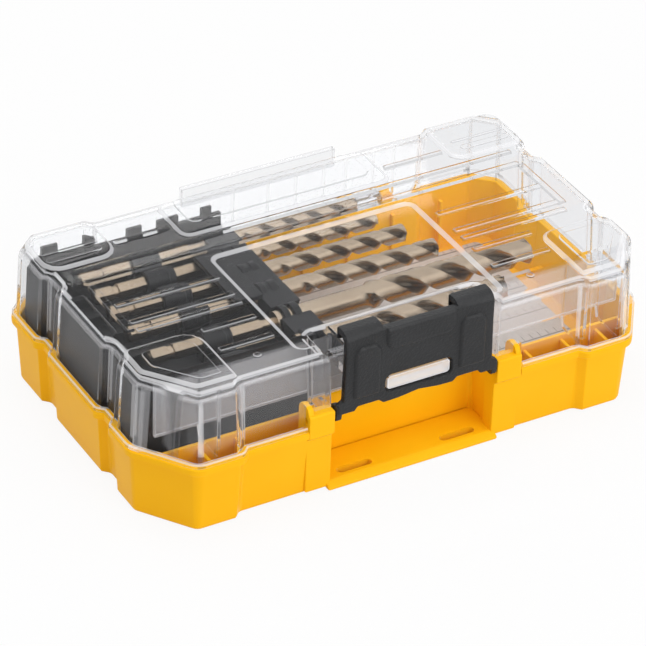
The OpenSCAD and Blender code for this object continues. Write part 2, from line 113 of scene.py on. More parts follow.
# Node: a type, its settings, which are set first, and the values or links of its sockets
def node(tree, kind, settings=None, values=None, out=0):
    made = tree.nodes.new(kind)
    for key, value in (settings or {}).items():
        if key == "stops":
            elements = made.color_ramp.elements
            for i, (at, color) in enumerate(value):
                stop = elements[i] if i < len(elements) else elements.new(at)
                stop.position, stop.color = at, (*color, 1)
        else:
            setattr(made, key, value)
    pairs = values.items() if isinstance(values, dict) else enumerate(values or [])
    for key, value in pairs:
        if isinstance(value, Value):
            tree.links.new(value.socket, made.inputs[key])
        else:
            made.inputs[key].default_value = value
    return Value(tree, made.outputs[out])


# Material: shade gives the sockets that vary, and the fixed ones are set on the shader itself
def material(name, shade, **fixed):
    made = bpy.data.materials.new(name)
    made.use_nodes = True
    tree = made.node_tree
    shader = tree.nodes["Principled BSDF"]
    for key, value in fixed.items():
        shader.inputs[key.replace("_", " ")].default_value = value
    for key, value in shade(tree, node(tree, "ShaderNodeTexCoord", out="Object")).items():
        tree.links.new(value.socket, shader.inputs[key])
    return made


# Noise: soft clouds whose size goes down as the scale goes up
def noise(tree, place, scale, detail):
    return node(tree, "ShaderNodeTexNoise", {}, {"Vector": place, "Scale": scale, "Detail": detail, "Roughness": 0.5})


# Tones: one colour where the cloud is thin, another where it is thick
def tones(tree, cloud, low, high):
    return node(tree, "ShaderNodeValToRGB", {"stops": [(0.3, low), (0.7, high)]}, {"Fac": cloud})


# Blend: from one colour to another by a factor
def blend(tree, factor, first, second):
    return node(tree, "ShaderNodeMix", {"data_type": "RGBA"}, {0: factor, 6: first, 7: second}, out=2)


# Eased: rises from 0 to 1 as the value goes from low to high, or falls where low is the larger
def eased(tree, value, low, high):
    return node(tree, "ShaderNodeMapRange", {"interpolation_type": "SMOOTHSTEP"},
                {"Value": value, "From Min": low, "From Max": high})


# Within: the product of several eased values, each with its two limits
def within(tree, *bands):
    (value, limits), *rest = bands
    product = eased(tree, value, *limits)
    for value, limits in rest:
        product = product * eased(tree, value, *limits)
    return product


# Axes: the three parts of a vector, each as a value
def axes(tree, vector):
    split = node(tree, "ShaderNodeSeparateXYZ", {}, [vector]).socket.node
    return [Value(tree, output) for output in split.outputs]


# Plain plastics: two close tones and the roughness follow a soft cloud, and a fine grain is the bump
plastics = {   # cloud and grain: scale and detail; rough: lowest and rise; bump: strength and distance
    "yellowPlastic": {"tones": ((0.95, 0.48, 0.004), (0.98, 0.51, 0.007)), "cloud": (30, 3),
                      "grain": (2600, 2), "rough": (0.34, 0.08), "bump": (0.12, 0.0001), "gloss": 0.1},
    "blackPlastic": {"tones": ((0.006, 0.006, 0.007), (0.011, 0.011, 0.013)), "cloud": (40, 2),
                     "grain": (1800, 3), "rough": (0.38, 0.1), "bump": (0.06, 0.0001), "gloss": 0.3},
    "charcoalPlastic": {"tones": ((0.009, 0.0095, 0.0105), (0.015, 0.0155, 0.017)), "cloud": (60, 2),
                        "grain": (1100, 3), "rough": (0.42, 0.1), "bump": (0.9, 0.0004), "gloss": 0.35},
}


def plainPlastic(name):
    look = plastics[name]
    lowest, rise = look["rough"]
    strength, distance = look["bump"]

    def shade(tree, place):
        grain = noise(tree, place, *look["grain"])
        cloud = noise(tree, place, *look["cloud"])
        return {
            "Base Color": tones(tree, cloud, *look["tones"]),
            "Roughness": cloud * rise + lowest,
            "Normal": node(tree, "ShaderNodeBump", {}, {"Height": grain, "Strength": strength, "Distance": distance}),
        }
    return material(name, shade, Specular_IOR_Level=look["gloss"])


clearLook = {
    "ior": 1.06, "coat": 0.13, "tint": (0.92, 0.925, 0.935, 1), "shadow": (0.94, 0.94, 0.94, 1),
    # pale is the colour of the painted highlights, deep the dark grey of the painted shade band
    "pale": (0.85, 0.85, 0.87, 1), "deep": (0.1, 0.1, 0.105, 1),
    # places in metres, as the two limits between which a mask fades
    "insideX": (0.107, 0.105), "insideY": (0.0605, 0.0595), "aboveTop": (0.0645, 0.0647), "flange": (0.037, 0.036),
    "hangingFront": (-0.0490, -0.0485), "hangingRear": (-0.0450, -0.0455), "hangingTop": (0.0600, 0.0590),
    "tongueX": (0.0150, 0.0147), "tongueY": (-0.0640, -0.0645), "tongueZ": (0.040, 0.041),
    "frontY": (-0.0620, -0.0630), "frontLow": (0.0370, 0.0390), "frontTop": (0.0600, 0.0580),
    # the normal's upward part, faded in the same way, and for corners the product of its x and y parts
    "edgeBand": ((0.86, 0.78), (0.5, 0.6)), "reliefBand": (0.66, 0.56), "slopeBand": ((0.985, 0.94), (0.12, 0.25)),
    "flatter": (0.6, 0.8), "upright": (0.3, 0.1), "corner": (0.04, 0.14), "chamfer": (0.46, 0.38),
    # how much of the pale plastic, which paints highlights, reflections and shade, each mask brings in
    "slopeShare": 0.46, "uprightShare": 0.3, "glanceShare": 0.8, "glancePower": 8,
    "tongueShare": 0.5, "hangingShare": 0.2, "frontShare": 0.04, "evenShare": 0.006,
}


# Clear plastic: refracting with a gloss, and mixed with a pale plastic by the sum of some masks, which paints light
# and shade on it. These are the slopes of the raised and sunk fields and of the soft top edge, painted as highlights,
# whose middle is a painted band of dark grey shade, the upright edges, painted as highlights, faces seen at a glance,
# a painted reflection, and a little more of the pale plastic on the window's tongue, the hanging walls and the front.
# Shadow rays pass it
def clearPlastic():
    look = clearLook

    def shade(tree, place):
        return {"Roughness": noise(tree, place, 25, 2) * 0.03 + 0.01}
    made = material("clearPlastic", shade, Transmission_Weight=1.0, IOR=look["ior"], Base_Color=look["tint"],
                    Coat_Weight=look["coat"], Coat_Roughness=0.03, Coat_IOR=1.45)
    tree = made.node_tree
    normalX, normalY, normalZ = axes(tree, node(tree, "ShaderNodeTexCoord", out="Normal"))
    x, y, z = axes(tree, node(tree, "ShaderNodeTexCoord", out="Object"))
    up, corner = abs(normalZ), abs(normalX * normalY)
    inside = within(tree, (abs(x), look["insideX"]), (abs(y), look["insideY"]))
    relief = eased(tree, z, *look["aboveTop"]) | inside | eased(tree, z, *look["flange"])
    hanging = within(tree, (y, look["hangingFront"]), (y, look["hangingRear"]), (z, look["hangingTop"]))
    tongue = within(tree, (y, look["tongueY"]), (abs(x), look["tongueX"]), (z, look["tongueZ"]))
    front = within(tree, (y, look["frontY"]), (z, look["frontLow"]), (z, look["frontTop"]))
    # Edge and middle: the band in the middle of the soft top edge and of the fields' slopes, painted shade
    edge = within(tree, *((up, limits) for limits in look["edgeBand"])) * (1 - relief)
    middle = (edge + eased(tree, up, *look["reliefBand"]) * relief) * (1 - hanging)
    # Slopes and upright edges: painted highlights in the pale plastic
    slope = within(tree, *((up, limits) for limits in look["slopeBand"])) * (1 - middle * 0.5)
    slope = slope * ((eased(tree, up, *look["flatter"]) | relief) * 0.5 + 0.5)
    upright = within(tree, (corner, look["corner"]), (up, look["upright"]))
    upright = upright * (eased(tree, corner, *look["chamfer"]) | inside)
    # Glance: more of the pale plastic on faces seen at a glancing angle, a painted reflection
    glance = node(tree, "ShaderNodeLayerWeight", {}, {"Blend": 0.5}, out="Facing") ** look["glancePower"]
    share = slope * look["slopeShare"] + upright * look["uprightShare"] + glance * look["glanceShare"]
    share = share + tongue * look["tongueShare"] + hanging * look["hangingShare"] + front * look["frontShare"]
    color = blend(tree, middle, look["pale"], look["deep"])
    # The pale plastic carries the painted highlights, and the painted shade where the middle band turns it dark grey
    paintedLight = node(tree, "ShaderNodeBsdfPrincipled", {}, {"Base Color": color, "Roughness": 0.25})
    glass = Value(tree, tree.nodes["Principled BSDF"].outputs[0])
    body = node(tree, "ShaderNodeMixShader", {}, [share + look["evenShare"], glass, paintedLight])
    through = node(tree, "ShaderNodeBsdfTransparent", {}, [look["shadow"]])
    shadowRay = node(tree, "ShaderNodeLightPath", out="Is Shadow Ray")
    surface = node(tree, "ShaderNodeMixShader", {}, [shadowRay, body, through])
    tree.links.new(surface.socket, tree.nodes["Material Output"].inputs[0])
    return made


# Bronze steel: darker in the flutes by an attribute of the bits, a painted shade that deepens into them, and bright
# on the ground parts
def bronzeSteel():
    def shade(tree, place):
        cloud = noise(tree, place, 60, 3)
        flute = node(tree, "ShaderNodeAttribute", {"attribute_name": "fluteShadeDepth"}, out="Fac")
        ground = tones(tree, cloud, (0.47, 0.37, 0.27), (0.53, 0.43, 0.32))
        shadedFluteTone = tones(tree, cloud, (0.085, 0.066, 0.047), (0.12, 0.093, 0.068))
        return {"Base Color": blend(tree, flute, ground, shadedFluteTone), "Roughness": noise(tree, place, 900, 2) * 0.04 + 0.24}
    return material("bronzeSteel", shade, Metallic=1.0)


# Drawn steel: two close greys and the roughness follow a cloud
def drawnSteel():
    def shade(tree, place):
        cloud = noise(tree, place, 300, 2)
        return {"Base Color": tones(tree, cloud, (0.5, 0.5, 0.51), (0.62, 0.62, 0.63)),
                "Roughness": cloud * 0.2 + 0.2}
    return material("drawnSteel", shade, Metallic=1.0)


cardLook = {   # marks per metre, and where in its step each mark begins and ends
    "ticks": 250, "tick": (0.10, 0.06), "rows": 55, "band": ((0.30, 0.27), (0.08, 0.11)),
    "line": ((0.09, 0.07), (0.03, 0.05)), "ink": (0.05, 0.05, 0.05, 1), "strength": 0.7,
}


# Card: pale grey, with rows of plain ticks like a ruler's and a line under each row
def cardPaper():
    def shade(tree, place):
        x, y = axes(tree, place)[:2]
        cloud = noise(tree, place, 400, 3)
        along, row = (x * cardLook["ticks"]).math("FRACT"), (y * cardLook["rows"]).math("FRACT")
        tick = within(tree, (along, cardLook["tick"]), *((row, limits) for limits in cardLook["band"]))
        ink = tick | within(tree, *((row, limits) for limits in cardLook["line"]))
        sheet = tones(tree, cloud, (0.52, 0.50, 0.49), (0.58, 0.56, 0.55))
        return {"Base Color": blend(tree, ink * cardLook["strength"], sheet, cardLook["ink"]),
                "Roughness": cloud * 0.1 + 0.5}
    return material("cardPaper", shade)


yellow, black, charcoal = [plainPlastic(name) for name in plastics]
clear, bronze, steel, paper = clearPlastic(), bronzeSteel(), drawnSteel(), cardPaper()
print("materials made")

for name in nodes:
    if "pin" in name:
        nodes[name].data.materials.clear()
        nodes[name].data.materials.append(steel)
print("nodes painted")


# Shapes, in millimetres: a shape is its points and its faces

case = {
    "halfLength": 116, "halfWidth": 69, "blockX": 77, "blockStep": 3,
    "frontChamfer": (17, 24.2), "rearChamfer": (10, 9.5),
    "grooves": (-22.8, 31.8), "grooveHalf": 6.8, "grooveDepth": 2.9,
    "bayX": 37.4, "bayY": 48, "towerX": 49, "seam": 31.5, "lidTop": 64.5,
    "boreRadius": 1.58, "rib": 1.6,
}


# Unit: each vector divided by its own length
def unit(v):
    return v / np.maximum(np.linalg.norm(v, axis=-1, keepdims=True), 1e-12)


# Ring: each edge of a corner list moves out by grow, then each corner is rounded with steps arcs;
# an outer corner's radius grows with it and an inner corner's shrinks
def ring(corners, grow=0.0, steps=4, closed=True):
    p, radius = corners[:, :2], corners[:, 2]
    ahead = unit(np.roll(p, -1, 0) - p)
    behind = np.roll(ahead, 1, 0)
    if not closed:
        ahead[-1], behind[0] = behind[-1], ahead[0]
    out = np.stack([ahead[:, 1], -ahead[:, 0]], 1)
    outBehind = np.stack([behind[:, 1], -behind[:, 0]], 1)
    q = p + grow * (out + outBehind) / (1 + (out * outBehind).sum(1))[:, None]
    turn = behind[:, 0] * ahead[:, 1] - behind[:, 1] * ahead[:, 0]
    back, forth = np.roll(q, 1, 0) - q, np.roll(q, -1, 0) - q
    u, w = unit(back), unit(forth)
    half = np.arccos(np.clip((u * w).sum(1), -1, 1)) / 2
    room = 0.48 * np.minimum(np.linalg.norm(back, axis=1), np.linalg.norm(forth, axis=1))
    r = np.minimum(np.maximum(radius + np.sign(turn) * grow, 0.05), room * np.tan(half))
    centre = q + unit(u + w) * (r / np.sin(half))[:, None]
    reach = (r / np.tan(half))[:, None]
    start, end = (q + u * reach - centre)[:, None], (q + w * reach - centre)[:, None]
    t = np.linspace(0, 1, steps + 1)[None, :, None]
    arc = centre[:, None] + unit(start * (1 - t) + end * t) * r[:, None, None]
    if closed:
        return arc.reshape(-1, 2)
    return np.concatenate([q[:1], arc[1:-1].reshape(-1, 2), q[-1:]])


# Grid faces: one between rows i and i + 1 and columns j and j + 1, closed either way where asked
def gridFaces(rows, cols, loopRows, loopCols):
    i = np.arange(rows if loopRows else rows - 1)[:, None]
    j = np.arange(cols if loopCols else cols - 1)[None]
    corners = [(i, j), (i, j + 1), (i + 1, j + 1), (i + 1, j)]
    return np.stack([(a % rows) * cols + b % cols for a, b in corners], -1).reshape(-1, 4).tolist()


# On plane: a point's last number is its level along the axis that the plane is named for
def onPlane(rows, plane):
    a, b, h = rows[..., 0], rows[..., 1], rows[..., 2]
    return np.stack({"Z": (a, b, h), "X": (h, a, b), "Y": (a, -h, b)}[plane], -1).reshape(-1, 3)


# A grid of rings made a closed shape: ends that stay open get one flat face each
def shell(rows, plane="Z", loopRows=False, loopCols=True):
    count, size = rows.shape[:2]
    faces = gridFaces(count, size, loopRows, loopCols)
    if not loopRows:
        faces += [list(range(size))[::-1], list(range((count - 1) * size, count * size))]
    if not loopCols:
        first = [i * size for i in range(count)]
        faces += [first, [i + size - 1 for i in first][::-1]]
    return onPlane(rows, plane), faces


# Carry: a profile of (grow, level) goes along a corner list
def carry(corners, profile, steps=4, closed=True, loop=False, plane="Z"):
    corners = np.array(corners, float)
    rows = [np.insert(ring(corners, grow, steps, closed), 2, level, axis=1) for grow, level in profile]
    return shell(np.stack(rows), plane, loop, closed)


# Prism: a corner list between two levels, with both edges rounded by an arc of three points
def prism(corners, low, high, edge=0.4, plane="Z"):
    e = min(edge, (high - low) / 2.02)
    b = 0.293 * e
    profile = [(-e, low), (-b, low + b), (0, low + e), (0, high - e), (-b, high - b), (-e, high)]
    return carry(corners, profile, plane=plane)


# Rect: four corners with the same radius, in turn to the left
def rect(x1, y1, x2, y2, r=1.0):
    return [(x1, y1, r), (x2, y1, r), (x2, y2, r), (x1, y2, r)]


# Block: a prism over a rectangle, from its lowest corner to its highest
def block(low, high, edge=0.4, r=0.5, plane="Z"):
    a, b, h = {"Z": (0, 1, 2), "X": (1, 2, 0), "Y": (0, 2, 1)}[plane]
    levels = (low[h], high[h]) if plane != "Y" else (-high[1], -low[1])
    return prism(rect(low[a], low[b], high[a], high[b], r), *levels, edge, plane)


# Turned: a profile of (radius, level) goes round an axis
def turned(centre, profile, plane="X", count=32):
    angle = np.arange(count) / count * 2 * np.pi
    profile = np.array(profile, float)
    a = centre[0] + profile[:, :1] * np.cos(angle)
    b = centre[1] + profile[:, :1] * np.sin(angle)
    return shell(np.stack([a, b, np.broadcast_to(profile[:, 1:], a.shape)], -1), plane)


# Bore: a turned cut of the pins' radius
def bore(centre, start, end):
    radius = case["boreRadius"]
    return turned(centre, [(radius, start), (radius, end)])


# Both sides: a shape and its mirror image across x = 0, whose faces are turned back to point outwards
def bothSides(shape):
    points, faces = shape
    return gather(shape, (points * (-1, 1, 1), [face[::-1] for face in faces]))


# Gather: several shapes as one, with the faces' numbers moved on past the points before them
def gather(*shapes):
    points, faces, start = [], [], 0
    for some, polygons in shapes:
        points.append(some)
        faces += [[start + k for k in face] for face in polygons]
        start += len(some)
    return np.concatenate(points), faces


# Mesh piece: a shape in millimetres becomes an object in metres, at the origin
def meshPiece(name, shape):
    mesh = bpy.data.meshes.new(name)
    mesh.from_pydata((shape[0] * mm).tolist(), [], shape[1])
    mesh.validate()
    made = bpy.data.objects.new(name, mesh)
    bpy.context.scene.collection.objects.link(made)
    return made


# Combined: shapes are joined to a body, and others cut away, one after the other
def combined(name, body, adds=(), cuts=()):
    made = meshPiece(name, body)
    for kind, shapes in (("UNION", adds), ("DIFFERENCE", cuts)):
        for shape in shapes:
            tool = meshPiece("tool", shape)
            cutter = made.modifiers.new(kind, "BOOLEAN")
            cutter.operation, cutter.solver, cutter.object = kind, "MANIFOLD", tool
            done = made.evaluated_get(bpy.context.evaluated_depsgraph_get())
            mesh = bpy.data.meshes.new_from_object(done)
            made.modifiers.clear()
            made.data = mesh
            bpy.data.objects.remove(tool)
    print(name, "made,", len(made.data.polygons), "faces")
    return made


# Dress: material and smooth shading, in which the large faces stay flat and only the soft edges turn
def dress(piece, mat, body, slot, *replaced, angle=30):
    mesh = piece.data
    mesh.materials.clear()
    mesh.materials.append(mat)
    mesh.polygons.foreach_set("use_smooth", np.ones(len(mesh.polygons), bool))
    mesh.set_sharp_from_angle(angle=math.radians(angle))
    flat = piece.modifiers.new("flatFaces", "WEIGHTED_NORMAL")
    flat.keep_sharp = True
    done = piece.evaluated_get(bpy.context.evaluated_depsgraph_get())
    piece.data = bpy.data.meshes.new_from_object(done)
    piece.modifiers.clear()
    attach(piece, body)
    if replaced:
        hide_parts(*replaced)


# Corners of the case's right half from the front to the rear, each with its own radius, and then all round
def rightHalf(start):
    length, width, step = case["halfLength"], case["halfWidth"], case["blockStep"]
    (fx, fy), (rx, ry) = case["frontChamfer"], case["rearChamfer"]
    inner, outer = case["blockX"], case["blockX"] + step
    half, deep = case["grooveHalf"], case["grooveDepth"]
    corners = list(start) + [(inner, step - width, 1.5), (outer, -width, 1.5),
                             (length - fx, -width, 6), (length, fy - width, 6)]
    for y in case["grooves"]:
        corners += [(length, y - half, 1.2), (length - deep, y - half + deep, 1.2),
                    (length - deep, y + half - deep, 1.2), (length, y + half, 1.2)]
    return corners + [(length, width - ry, 5), (length - rx, width, 5),
                      (outer, width, 1.5), (inner, width - step, 1.5)]


def outline(start):
    half = rightHalf(start)
    return half + [(-x, y, r) for x, y, r in half[::-1]]


panelY = case["halfWidth"] - case["blockStep"]
caseOutline = outline([(case["bayX"], -case["bayY"], 1.5), (case["bayX"], -panelY, 1.5)])
rimOutline = outline([(case["towerX"], -panelY, 0)])
# The rim's path is open: it runs from the right tower round to the left one


# Base: drawn walls with soft edges and a rim that is open at the bay, towers with ears beside the bay, a
# ledge with slots, hinge knuckles, and ribs. A profile's points are how far out it goes and its level

base = {
    "floor": 2.6, "draft": 1.6, "wall": 2.2, "rimOut": 2.0, "rimHeight": 3.3,
    "towerFront": -68, "towerTop": 38.8, "earThick": 2.6, "pivot": (-64.7, 35.6), "earRadius": 6.6,
    "ledgeHalf": 39.4, "ledgeHeight": 3.2, "slotX": 24, "slotHalf": (8, 1.8), "slotY": -61.2,
    "hinge": (72.4, 32), "hingeX": 56, "knuckle": 3.5, "lidKnuckle": 6, "sideKnuckle": 6.3,
    "frontRibs": (-88.5, -72, 62, 79.8, 96.5), "rearRibs": (-2, 20, 42, 64, 88),
    "ribTop": 26.5, "ribFront": (-64, -66),   # where the front ribs begin, beside the bay and further out
}


def makeBase():
    top, d, wall = case["seam"], base["draft"], base["wall"]
    profile = [(-d - 1.6, 0), (-d - 0.5, 0.45), (-d, 1.6), (0, top - base["rimHeight"]), (0, top - 0.5),
               (-0.5, top), (0.4 - wall, top), (-wall, top - 0.4), (-wall - 1.2, 5.0),
               (-wall - 1.6, 3.3), (-wall - 2.6, base["floor"])]
    body = carry(caseOutline, profile)
    low, out = top - base["rimHeight"], base["rimOut"]
    rim = carry(rimOutline, [(-1, low), (out - 0.7, low), (out - 0.1, low + 0.5), (out, top - 0.7),
                             (out - 0.2, top - 0.2), (out - 0.7, top), (-1, top)], closed=False, loop=True)
    py, pz = base["pivot"]
    ear, front = base["earRadius"], base["towerFront"]
    towerTop = base["towerTop"]
    tower = [(-65.8, 1.0, 0.3), (-58.5, 1.0, 0.5), (-58.5, top, 0.3), (py + 3.2, top, 0.5), (py + 3.2, towerTop, 1),
             (front, towerTop, 1), (front, low, 0.8), (-65.8, low - 2, 0.8)]
    earShape = [(py + ear, low, 0.5), (py + ear, pz + ear, ear - 0.1), (py - 1, pz + ear, 3.5),
                (py - 2.6, towerTop - 1, 1), (py - 2.6, low, 0.3)]
    half = base["ledgeHalf"]
    ledge = prism([(front, 0, 0.6), (-47, 0, 0.5), (-47, base["ledgeHeight"], 0.5),
                   (front + 3, base["ledgeHeight"], 2.5), (front, 1.2, 1)], -half, half, 0.8, "X")
    hy, hz = base["hinge"]
    adds = [rim, ledge, bothSides(prism(tower, case["bayX"], case["towerX"], 0.7, "X")),
            bothSides(prism(earShape, case["towerX"] - base["earThick"], case["towerX"] - 0.1, 0.5, "X"))]
    for side in (-1, 1):
        x = base["hingeX"] + side * (base["lidKnuckle"] + 0.3 + base["sideKnuckle"] / 2 - 0.15)
        a, b, r = x - 3, x + 3, base["knuckle"]
        adds.append(bothSides(turned((hy, hz), [(r - 0.4, a), (r, a + 0.4), (r, b - 0.4), (r - 0.4, b)])))
        web = [(panelY - 0.5, hz - 8, 0.3), (panelY + 2.2, hz - 8, 1), (hy + 2.6, hz - 2.4, 1),
               (hy, hz, 0.3), (panelY - 0.5, hz - 1.5, 0.3)]
        adds.append(bothSides(prism(web, a, b, 0.4, "X")))
    inner, ribTop, rib = -case["bayY"], base["ribTop"], case["rib"]
    adds.append(bothSides(block((case["bayX"], inner, 1), (110, inner + rib, ribTop), 0.4)))
    for x in base["frontRibs"]:
        start = base["ribFront"][0 if abs(x) < case["blockX"] else 1]
        adds.append(block((x, start, 1), (x + rib, inner + 0.6, ribTop - 2), 0.4))
    for x in base["rearRibs"]:
        adds.append(block((x, panelY - 4.6, 1), (x + rib, panelY - 2, ribTop), 0.4))
    sx, sy = base["slotHalf"]
    slotX, slotY = base["slotX"], base["slotY"]
    slot = prism(rect(slotX - sx, slotY - sy, slotX + sx, slotY + sy, sy), -1, 6, 0.1)
    bores = [bore((hy, hz), 42, 70), bore((py, pz), 36, 51)]
    made = combined("baseShell", body, adds, map(bothSides, [slot, *bores]))
    dress(made, yellow, "base", "base", "base_shell")


makeBase()


# Lid: drawn walls with a soft top edge and a flange, a nose with a tongue, raised and sunk fields, and walls and
# ribs that hang inside

lid = {
    "seam": 31.7, "wall": 2.0, "skin": 2.2, "draft": 1.3, "round": 4.6,
    "flangeOut": 1.7, "flange": 2.3, "noseX": 30.5, "noseFront": -63.6, "noseLow": 49.4,
    "tongue": (-14.5, 41.4, 14.5, 47.8), "bead": (18, 63, 29.5, 69), "stripX": 36.6,
    "overTower": ((35, -75, 30), (49.6, -57.3, 39.6)), "roundEar": ((45.6, -69, 30), (49.6, -57.3, 43)),
    "raised": [   # corners, height and width of the slope
        (rect(-52, 33.6, 46.5, 61, 5), 1.2, 1.6), (rect(-45, 41, 40.5, 60, 4), 1.7, 0.6),
        (rect(-112.5, 34.6, -80, 63, 8), 1.5, 1.8), (rect(77.5, 35.4, 112.5, 63, 6), 1.5, 1.8),
        (rect(-110.5, 39.4, -85, 43.4, 1.9), 2.0, 0.5), (rect(84, 40, 108, 44, 1.9), 2.0, 0.5),
        (rect(-110.5, 45.4, -84.5, 47.4, 0.9), 2.0, 0.5), (rect(82.5, 46.6, 108, 48.6, 0.9), 2.0, 0.5),
        (rect(-104, 30.2, 103, 33, 1.2), 1.2, 0.7), (rect(-103, 20.2, 101, 23.8, 1.6), 1.2, 0.7),
        (rect(-78.5, 42.8, -53.5, 45.4, 0.6), 1.1, 0.6), (rect(48, 43, 76.5, 45.6, 0.6), 1.1, 0.6),
        (rect(-103, -16.5, -99.5, 19, 0.6), 1.3, 0.6), (rect(99, -13, 102.6, 20.5, 0.6), 1.3, 0.6),
        ([(-111.5, -43.5, 4), (-96.5, -62.6, 4), (-78.5, -62.6, 1.5), (-78.5, -27, 9), (-111.5, -27, 4)], 1.5, 1.8),
        ([(-106.5, -43, 4), (-93.5, -59.5, 4), (-83.5, -59.5, 1.5), (-83.5, -32.5, 6), (-106.5, -32.5, 3)], 2.0, 0.6),
        ([(78.5, -62.6, 1.5), (96.5, -62.6, 4), (111.5, -43.5, 4), (111.5, -28.5, 4), (78.5, -28.5, 6)], 1.5, 1.8),
        ([(83.5, -59.5, 1.5), (93.5, -59.5, 4), (106.5, -43, 4), (106.5, -33.5, 3), (83.5, -33.5, 4)], 2.0, 0.6),
    ],
    "leftBars": [(-99.5, 2.0), (-99.5, -11), (-99.5, -17.2), (-77, -29), (-77, -43.4)],
    "rightBars": [(99.5, 2.8), (99.5, -11.2), (99.5, -17.4), (77, -26.3), (77, -40.4)],
    "barHalf": 1.75, "barEnds": (-52.5, 49),
    "sunk": [(rect(-50, -58, 46.5, 18.5, 5), 1.0, 2.2), (rect(-113.5, -14, -106, 16, 1.5), 0.9, 0.8)],
    "buttons": (-100, -65, 60, 96), "ribs": (-88.5, 79.8, 96.5),
    "rearRibs": (-14.6, 2, 15.4, 28.7, 39.5, 52.9, 62.9),
}


# A raised field climbs from the lid's top by height over the width of its slope; a sunk one does the reverse
def raised(corners, height, slope):
    top = case["lidTop"]
    steps = [(0, -0.9), (0, 0.2 * height), (-0.3 * slope, 0.55 * height), (-0.75 * slope, 0.92 * height),
             (-1.2 * slope, height)]
    return carry(corners, [(grow, top + rise) for grow, rise in steps])


def sunk(corners, depth, slope):
    top = case["lidTop"]
    steps = [(-slope - 0.4, -depth), (-slope, -0.92 * depth), (-0.2 * slope, -0.12 * depth), (0.2, 0.01),
             (0.2, 3)]
    return carry(corners, [(grow, top + rise) for grow, rise in steps])


def makeLid():
    top, seam, wall, d, r = case["lidTop"], lid["seam"], lid["wall"], lid["draft"], lid["round"]
    arc = [(math.sin(a), math.cos(a)) for a in np.radians([0, 22.5, 45, 67.5, 90])]
    inner = [(-d - wall - (r - 2) * (1 - s), top - lid["skin"] - (r - 2) * (1 - c)) for s, c in arc]
    outer = [(-d - r * (1 - c), top - r * (1 - s)) for s, c in arc]
    profile = inner + [(-wall, seam + 0.3), (0.3 - wall, seam), (-0.3, seam), (0, seam + 0.3)] + outer
    body = carry(caseOutline, profile)
    out, thick = lid["flangeOut"], lid["flange"]
    flange = carry(rimOutline, [(-1, seam), (out - 0.5, seam), (out, seam + 0.5), (out, seam + thick - 0.6),
                                (out - 0.6, seam + thick), (-1, seam + thick)], closed=False, loop=True)
    nx, ny, nz = lid["noseX"], lid["noseFront"], lid["noseLow"]
    nose = prism([(ny, nz, 1.2), (-45, nz, 0.3), (-45, top, 0.3), (ny, top, 3.2)], -nx, nx, 1.2, "X")
    x1, z1, x2, z2 = lid["tongue"]
    tongue = prism(rect(x1, z1, x2, z2, 1.6), 61.8, 68.2, 0.8, "Y")
    stem = prism(rect(x1, z1, x2, nz + 2.6, 1.6), 61.6, -ny, 0.3, "Y")
    strip = prism([(65.2, 56, 0.4), (67.8, 59, 0.8), (67.8, 66.4, 0.8), (65.2, 66.4, 0.8)],
                  -lid["stripX"], lid["stripX"], 0.6, "X")
    bead = bothSides(prism(rect(*lid["bead"], 0.5), 62.0, 63.6, 0.5, "Y"))
    hy, hz = base["hinge"]
    a, b, k = base["hingeX"] - 6, base["hingeX"] + 6, base["knuckle"]
    hinge = bothSides(turned((hy, hz), [(k - 0.4, a), (k, a + 0.4), (k, b - 0.4), (k - 0.4, b)]))
    web = bothSides(block((a, panelY - 0.5, seam), (b, hy, seam + thick), 0.3))
    adds = [flange, nose, tongue, stem, strip, bead, hinge, web]
    adds += [raised(*field) for field in lid["raised"]]
    half, (left, right) = lid["barHalf"], lid["barEnds"]
    adds += [raised(rect(x, y - half, left, y + half, 0.9), 1.2, 0.85) for x, y in lid["leftBars"]]
    adds += [raised(rect(right, y - half, x, y + half, 0.9), 1.2, 0.85) for x, y in lid["rightBars"]]
    button = [(1.7, top - 1), (1.7, top + 0.5), (1.3, top + 0.9)]
    adds += [turned((x, -53), button, "Z", 24) for x in lid["buttons"]]
    adds.append(bothSides(block((37, -case["bayY"], 35.5), (107, 2 - case["bayY"], top - 1), 0.4)))
    for x in lid["ribs"]:
        rib = [(-62.6, 29.4, 0.4), (-48.6, 30.8, 0.4), (-47, 36, 0.4), (-47, top - 1, 0.4),
               (-64.5, top - 1.5, 0.4), (-64.5, 34.2, 0.4), (-62.6, 34, 0.2)]
        adds.append(prism(rib, x, x + case["rib"], 0.3, "X"))
    adds += [block((x, 61.6, 38), (x + 1.3, 64.6, 61.5), 0.3) for x in lid["rearRibs"]]
    cuts = [prism([(2 + ny, nz + 2, 1), (-44, nz + 2, 0.3), (-44, top - 2.2, 0.3), (ny + 2, top - 2.2, 2)],
                  2 - nx, nx - 2, 0.5, "X")]
    cuts += [sunk(*field) for field in lid["sunk"]]
    cuts += [bothSides(block(*lid[space], 0.5)) for space in ("overTower", "roundEar")]
    cuts.append(bothSides(bore((hy, hz), a - 1, b + 1)))
    made = combined("lidShell", body, adds, cuts)
    dress(made, clear, "lid", "lid", "lid_shell")


makeLid()


# Latch: a plate with a window and grips, shoulders that turn back into two hooks, and two arms

